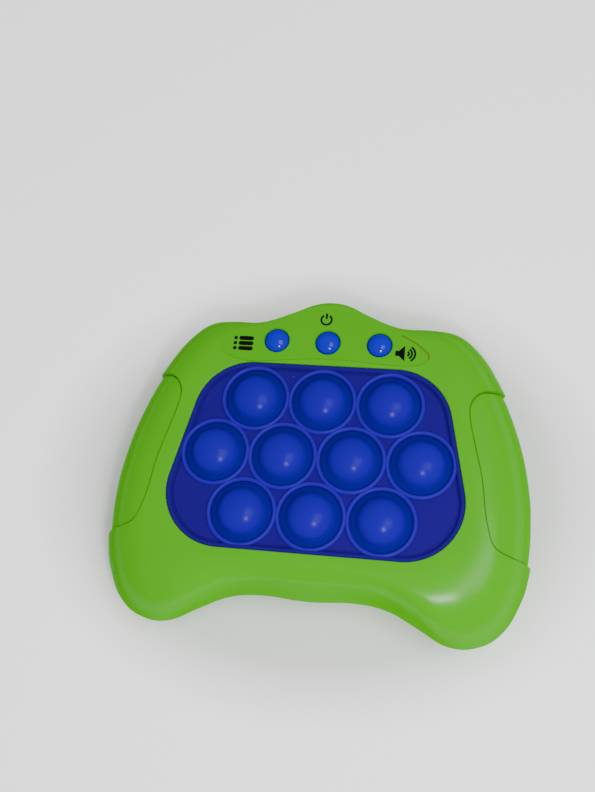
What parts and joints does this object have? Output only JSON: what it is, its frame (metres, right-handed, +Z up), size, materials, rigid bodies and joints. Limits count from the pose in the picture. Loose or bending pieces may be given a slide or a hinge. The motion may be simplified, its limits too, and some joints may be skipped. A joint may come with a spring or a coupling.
{
  "type": "electronic bubble pop game",
  "caption": "Handheld electronic bubble pop game: controller-shaped housing, silicone bubble sheet over lit keys, push buttons, speaker and battery well.",
  "frame": {"origin": "on the surface the game lies on, below the middle of the housing", "axes": "X across the housing, Y from the grips towards the hump with the buttons, +Z up out of the face"},
  "size_m": [0.168, 0.1364, 0.041],
  "materials": {
    "housing_green": "lime green moulded ABS, half gloss",
    "sheet_blue": "blue silicone, satin",
    "bubble_blue": "blue silicone dome, satin",
    "button_blue": "bright blue, glossy",
    "label_clear": "clear film over the green housing",
    "guide_clear": "clear light guide",
    "white_plastic": "white moulded plastic",
    "board_green": "green laminate",
    "black_plastic": "black moulded plastic",
    "cell_wrap": "plain printed sleeve",
    "spring_steel": "nickel-plated spring steel",
    "screw_steel": "zinc-plated steel"
  },
  "bodies": {
    "root": {"front_shell": "housing_green", "rear_shell": "housing_green", "bubble_sheet": "sheet_blue", "guide_plate": "white_plastic", "main_board": "board_green", "button_board": "board_green", "label_film": "label_clear", "speaker": "black_plastic", "menu_switch": "black_plastic", "power_switch": "black_plastic", "sound_switch": "black_plastic", "contact_plus": "spring_steel", "contact_minus": "spring_steel", "contact_link_left": "spring_steel", "contact_link_right": "spring_steel", "bubble_switch_1": "black_plastic", "bubble_switch_2": "black_plastic", "bubble_switch_3": "black_plastic", "bubble_switch_4": "black_plastic", "bubble_switch_5": "black_plastic", "bubble_switch_6": "black_plastic", "bubble_switch_7": "black_plastic", "bubble_switch_8": "black_plastic", "bubble_switch_9": "black_plastic", "bubble_switch_10": "black_plastic", "battery_cell_1": "cell_wrap", "battery_cell_2": "cell_wrap", "battery_cell_3": "cell_wrap", "case_screw_1": "screw_steel", "case_screw_2": "screw_steel", "case_screw_3": "screw_steel", "case_screw_4": "screw_steel", "case_screw_5": "screw_steel", "case_screw_6": "screw_steel"},
    "bubble_body_1": {"bubble_1": "bubble_blue", "light_guide_1": "guide_clear"},
    "bubble_body_2": {"bubble_2": "bubble_blue", "light_guide_2": "guide_clear"},
    "bubble_body_3": {"bubble_3": "bubble_blue", "light_guide_3": "guide_clear"},
    "bubble_body_4": {"bubble_4": "bubble_blue", "light_guide_4": "guide_clear"},
    "bubble_body_5": {"bubble_5": "bubble_blue", "light_guide_5": "guide_clear"},
    "bubble_body_6": {"bubble_6": "bubble_blue", "light_guide_6": "guide_clear"},
    "bubble_body_7": {"bubble_7": "bubble_blue", "light_guide_7": "guide_clear"},
    "bubble_body_8": {"bubble_8": "bubble_blue", "light_guide_8": "guide_clear"},
    "bubble_body_9": {"bubble_9": "bubble_blue", "light_guide_9": "guide_clear"},
    "bubble_body_10": {"bubble_10": "bubble_blue", "light_guide_10": "guide_clear"},
    "menu_button_body": {"menu_button": "button_blue"},
    "power_button_body": {"power_button": "button_blue"},
    "sound_button_body": {"sound_button": "button_blue"},
    "battery_door_body": {"battery_door": "housing_green", "battery_door_screw": "screw_steel"}
  },
  "joints": [
    {"name": "bubble_press_1", "type": "slide", "parent": "root", "child": "bubble_body_1", "axis": [0, 0, 1], "range_m": [-0.0035, 0], "stiffness_N_per_m": 400, "springref_m": 0.001},
    {"name": "bubble_press_2", "type": "slide", "parent": "root", "child": "bubble_body_2", "axis": [0, 0, 1], "range_m": [-0.0035, 0], "stiffness_N_per_m": 400, "springref_m": 0.001},
    {"name": "bubble_press_3", "type": "slide", "parent": "root", "child": "bubble_body_3", "axis": [0, 0, 1], "range_m": [-0.0035, 0], "stiffness_N_per_m": 400, "springref_m": 0.001},
    {"name": "bubble_press_4", "type": "slide", "parent": "root", "child": "bubble_body_4", "axis": [0, 0, 1], "range_m": [-0.0035, 0], "stiffness_N_per_m": 400, "springref_m": 0.001},
    {"name": "bubble_press_5", "type": "slide", "parent": "root", "child": "bubble_body_5", "axis": [0, 0, 1], "range_m": [-0.0035, 0], "stiffness_N_per_m": 400, "springref_m": 0.001},
    {"name": "bubble_press_6", "type": "slide", "parent": "root", "child": "bubble_body_6", "axis": [0, 0, 1], "range_m": [-0.0035, 0], "stiffness_N_per_m": 400, "springref_m": 0.001},
    {"name": "bubble_press_7", "type": "slide", "parent": "root", "child": "bubble_body_7", "axis": [0, 0, 1], "range_m": [-0.0035, 0], "stiffness_N_per_m": 400, "springref_m": 0.001},
    {"name": "bubble_press_8", "type": "slide", "parent": "root", "child": "bubble_body_8", "axis": [0, 0, 1], "range_m": [-0.0035, 0], "stiffness_N_per_m": 400, "springref_m": 0.001},
    {"name": "bubble_press_9", "type": "slide", "parent": "root", "child": "bubble_body_9", "axis": [0, 0, 1], "range_m": [-0.0035, 0], "stiffness_N_per_m": 400, "springref_m": 0.001},
    {"name": "bubble_press_10", "type": "slide", "parent": "root", "child": "bubble_body_10", "axis": [0, 0, 1], "range_m": [-0.0035, 0], "stiffness_N_per_m": 400, "springref_m": 0.001},
    {"name": "menu_press", "type": "slide", "parent": "root", "child": "menu_button_body", "axis": [0, 0, 1], "range_m": [-0.001, 0], "stiffness_N_per_m": 300, "springref_m": 0.0015},
    {"name": "power_press", "type": "slide", "parent": "root", "child": "power_button_body", "axis": [0, 0, 1], "range_m": [-0.001, 0], "stiffness_N_per_m": 300, "springref_m": 0.0015},
    {"name": "sound_press", "type": "slide", "parent": "root", "child": "sound_button_body", "axis": [0, 0, 1], "range_m": [-0.001, 0], "stiffness_N_per_m": 300, "springref_m": 0.0015},
    {"name": "battery_door_lift", "type": "slide", "parent": "root", "child": "battery_door_body", "axis": [0, 0, 1], "range_m": [-0.02, 0]}
  ]
}
